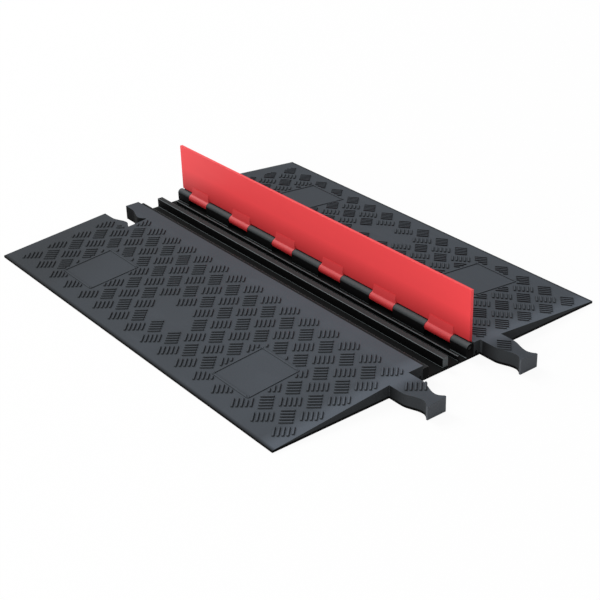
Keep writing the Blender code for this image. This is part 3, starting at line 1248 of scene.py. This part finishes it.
@dataclass(frozen=True)
class LidFace:
    """The face of the lid that is walked on, which stands upright while the lid is open."""

    face_y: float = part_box("lid")[1].y

    def place(self, spot: Vector, along: Vector) -> Matrix:
        """Find where something that lies on the face goes.

        Args:
            spot: Its middle, as X and the height while open.
            along: The direction of its length, in the same way.

        Returns:
            Its placement, with its own Z square to the face.
        """
        length = Vector((along.x, 0.0, along.y)).normalized()
        up = Vector((0.0, 1.0, 0.0))
        turn = Matrix((length, up.cross(length), up)).transposed().to_4x4()
        return Matrix.Translation((spot.x, self.face_y, spot.y)) @ turn


@dataclass
class Lid:
    """The hinged lid: panel and knuckles in one moulding, a tread on its upper face, and gussets.

    The gussets are low pads above the knuckles. Their corners are Y and Z from the hinge's axis, and
    their turn is where their foot meets the barrel, in degrees from its top.
    """

    edge_radius: float = 0.0009
    # The painted highlight on the rounded edges.
    edge_highlight: float = 0.8
    edge_segments: int = 3
    pitch: float = 0.0564
    row_heights: Tuple[float, float] = (0.069, 0.098)
    columns: int = 7
    bar_height: float = 0.0014
    knuckles: int = 6
    knuckle_pitch: float = 0.151
    # The painted highlight on the knuckles' barrels.
    knuckle_highlight: float = 0.24
    gusset_length: float = 0.062
    gusset_head: Tuple[float, float] = (0.0014, 0.0240)
    gusset_waist: Tuple[float, float] = (-0.0006, 0.0120)
    gusset_turn: float = 12.0
    gusset_root: Tuple[float, float] = (0.0050, 0.0075)
    gusset_corner: float = 0.0022
    # The painted highlight on the gussets' fronts.
    gusset_highlight: float = 0.06

    def build(self, plastic: bpy.types.Material) -> None:
        """Build and dress the lid.

        Args:
            plastic: Its finish.
        """
        bm = node_copy("lid")
        join_flats(bm)
        # The rounded edges and the knuckles' barrels get a painted highlight.
        ease_edges(bm, turned_edges(bm), self.edge_radius, self.edge_highlight, self.edge_segments)
        highlight_barrels(bm, self.knuckle_highlight)
        make_piece("lid_panel", bm, plastic, "lid", ["lid"])
        make_piece("lid_tread", self.tread(), plastic, "lid")
        make_piece("lid_gussets", self.gussets(), plastic, "lid")

    def tread(self) -> bmesh.types.BMesh:
        """Build two rows of low tread tiles, clear of the knuckles.

        Returns:
            The mesh of all the bars.
        """
        bar = TreadBar(height=self.bar_height)
        whole = Patch(0.0, 0.0, CAD_HIGH.x, CAD_HIGH.x)
        tiles = []
        for lean, height in zip(Lean, self.row_heights):
            shift = self.pitch / 2 if lean is Lean.FALLING else 0.0
            spots = range(-self.columns, self.columns + (lean is Lean.RISING))
            tiles += [(Vector((shift + spot * self.pitch, height)), lean) for spot in spots]
        return lay_bars(TreadField(whole, (), (), bar).bars(tiles), bar, LidFace().place)

    def gusset_section(self) -> List[Vector]:
        """Lay out the section of a gusset about the hinge's axis.

        Returns:
            Its corners: on the barrel, at the waist, at the head, and two inside the panel.
        """
        turn = math.radians(self.gusset_turn)
        foot = Vector((-math.sin(turn), math.cos(turn))) * BARREL_RADIUS
        head, root = Vector(self.gusset_head), Vector(self.gusset_root)
        return [foot, Vector(self.gusset_waist), head, Vector((root.x, head.y)), root]

    def gussets(self) -> bmesh.types.BMesh:
        """Build the low gussets above the knuckles.

        Returns:
            The mesh of all of them, with the ends of their fronts rounded.
        """
        axis = hinge_axis()
        section = self.gusset_section()
        bm = bmesh.new()
        bm.faces.layers.float.new(PAINTED_HIGHLIGHT_MARK)
        for index in range(self.knuckles):
            middle = (index - (self.knuckles - 1) / 2) * self.knuckle_pitch
            x = middle - self.gusset_length / 2
            corners = [bm.verts.new((x, axis.y + place.x, axis.z + place.y)) for place in section]
            grown = bmesh.ops.extrude_face_region(bm, geom=[bm.faces.new(corners)])["geom"]
            moved = [item for item in grown if isinstance(item, bmesh.types.BMVert)]
            bmesh.ops.translate(bm, vec=(self.gusset_length, 0.0, 0.0), verts=moved)
        bmesh.ops.holes_fill(bm, edges=[edge for edge in bm.edges if edge.is_boundary])
        bmesh.ops.recalc_face_normals(bm, faces=bm.faces[:])
        fronts = [face for face in bm.faces if face.normal.y < -FRONT_FACING]
        rims = [edge for edge in bm.edges
                if abs(edge.verts[0].co.x - edge.verts[1].co.x) < MERGE_DISTANCE
                and any(face in fronts for face in edge.link_faces)]
        # The fronts and their rounded ends get a faint painted highlight.
        mark_faces(bm, fronts, PAINTED_HIGHLIGHT_MARK, self.gusset_highlight)
        ease_edges(bm, rims, self.gusset_corner, self.gusset_highlight, self.edge_segments)
        return bm


@dataclass
class HingeRod:
    """The steel rod through all the knuckles."""

    chamfer: float = 0.0006

    def build(self, steel: bpy.types.Material) -> None:
        """Build and dress the rod.

        Args:
            steel: Its finish.
        """
        bm = node_copy("hinge_rod")
        join_flats(bm)
        ease_edges(bm, turned_edges(bm), self.chamfer, 0.0)
        make_piece("hinge_rod_bar", bm, steel, "base", ["hinge_rod"])


@dataclass
class RodPlug:
    """A black plug that keeps the rod in its bore."""

    end: End
    chamfer: float = 0.0005
    # The painted highlight on the chamfers.
    chamfer_highlight: float = 0.5

    def build(self, plastic: bpy.types.Material) -> None:
        """Build and dress the plug.

        Args:
            plastic: Its finish.
        """
        node = f"rod_plug_{self.end.name.lower()}"
        bm = node_copy(node)
        join_flats(bm)
        # The chamfers get a painted highlight.
        ease_edges(bm, turned_edges(bm), self.chamfer, self.chamfer_highlight)
        make_piece(f"{node}_cap", bm, plastic, "base", [node])


@dataclass(frozen=True)
class SoftBox:
    """A square soft light."""

    name: str
    place: Tuple[float, float, float]
    width: float
    power: float
    aim: Tuple[float, float, float] = (0.05, 0.0, 0.02)

    def build(self) -> None:
        """Hang the light and turn it to what it lights."""
        light = bpy.data.lights.new(self.name, "AREA")
        light.shape = "SQUARE"
        light.size = self.width
        light.energy = self.power
        lamp = add_object(self.name, light)
        lamp.location = self.place
        away = Vector(self.place) - Vector(self.aim)
        lamp.rotation_euler = away.to_track_quat("Z", "Y").to_euler()
        lamp.visible_camera = False


@dataclass(frozen=True)
class ProductCamera:
    """The camera at the viewing angle of the product view, for a square picture."""

    azimuth: float = 52.8237
    elevation: float = 28.2725
    roll: float = -1.8726
    distance: float = 2.4934
    target: Tuple[float, float, float] = (0.0878, -0.0299, 0.0)
    focal_pixels: float = 1312.7
    picture_pixels: float = 600.0
    sensor: float = 36.0
    clip: Limits = (0.05, 200.0)

    def build(self) -> None:
        """Place the camera and make it the scene's own."""
        az, el, roll = (math.radians(angle) for angle in (self.azimuth, self.elevation, self.roll))
        back = Vector((math.sin(az) * math.cos(el), -math.cos(az) * math.cos(el), math.sin(el)))
        level = Vector((0.0, 0.0, 1.0)).cross(back).normalized()
        upright = back.cross(level)
        right = level * math.cos(roll) + upright * math.sin(roll)
        above = upright * math.cos(roll) - level * math.sin(roll)
        data = bpy.data.cameras.new("product_camera")
        data.sensor_width = self.sensor
        data.lens = self.focal_pixels * self.sensor / self.picture_pixels
        data.clip_start, data.clip_end = self.clip
        camera = add_object("product_camera", data)
        turn = Matrix((right, above, back)).transposed().to_4x4()
        camera.matrix_world = Matrix.Translation(Vector(self.target) + back * self.distance) @ turn
        bpy.context.scene.camera = camera


@dataclass
class Studio:
    """A plain pale floor under soft light."""

    floor_half: float = 40.0
    fill: float = 0.45
    boxes: Sequence[SoftBox] = (
        SoftBox("left_box", (-15.6, -1.8, 12.0), 9.0, 2960.0),
        SoftBox("front_box", (1.5, -6.0, 1.6), 3.0, 180.0),
    )

    def build(self) -> None:
        """Build the floor, the lights, the surroundings and the camera."""
        bm = bmesh.new()
        bmesh.ops.create_grid(bm, x_segments=1, y_segments=1, size=self.floor_half)
        mesh = finished_mesh("floor", bm)
        mesh.materials.append(FLOOR_FINISH.build())
        floor = add_object("floor", mesh)
        for box in self.boxes:
            box.build()
        world = bpy.data.worlds.new("studio")
        bpy.context.scene.world = world
        tree = ShaderTree(world, "ShaderNodeOutputWorld")
        level = self.fill + (1.0 - self.fill) * seen_directly(tree)
        sky = {"Color": opaque(WHITE), "Strength": level}
        tree.close(tree.node("ShaderNodeBackground", None, sky))
        bpy.context.scene.view_settings.view_transform = "Standard"
        ProductCamera().build()


def main() -> None:
    """Build the studio and every piece of the cable protector."""
    logging.basicConfig(level=logging.INFO, format="%(name)s: %(message)s")
    Studio().build()
    ramp_rubber = RAMP_RUBBER.build()
    for side in Side:
        Ramp(side).build(ramp_rubber)
    Tray().build(TRAY_RUBBER.build())
    Lid().build(LID_PLASTIC.build())
    HingeRod().build(ROD_STEEL.build())
    plug_plastic = PLUG_PLASTIC.build()
    for end in End:
        RodPlug(end).build(plug_plastic)


if __name__ == "__main__":
    main()
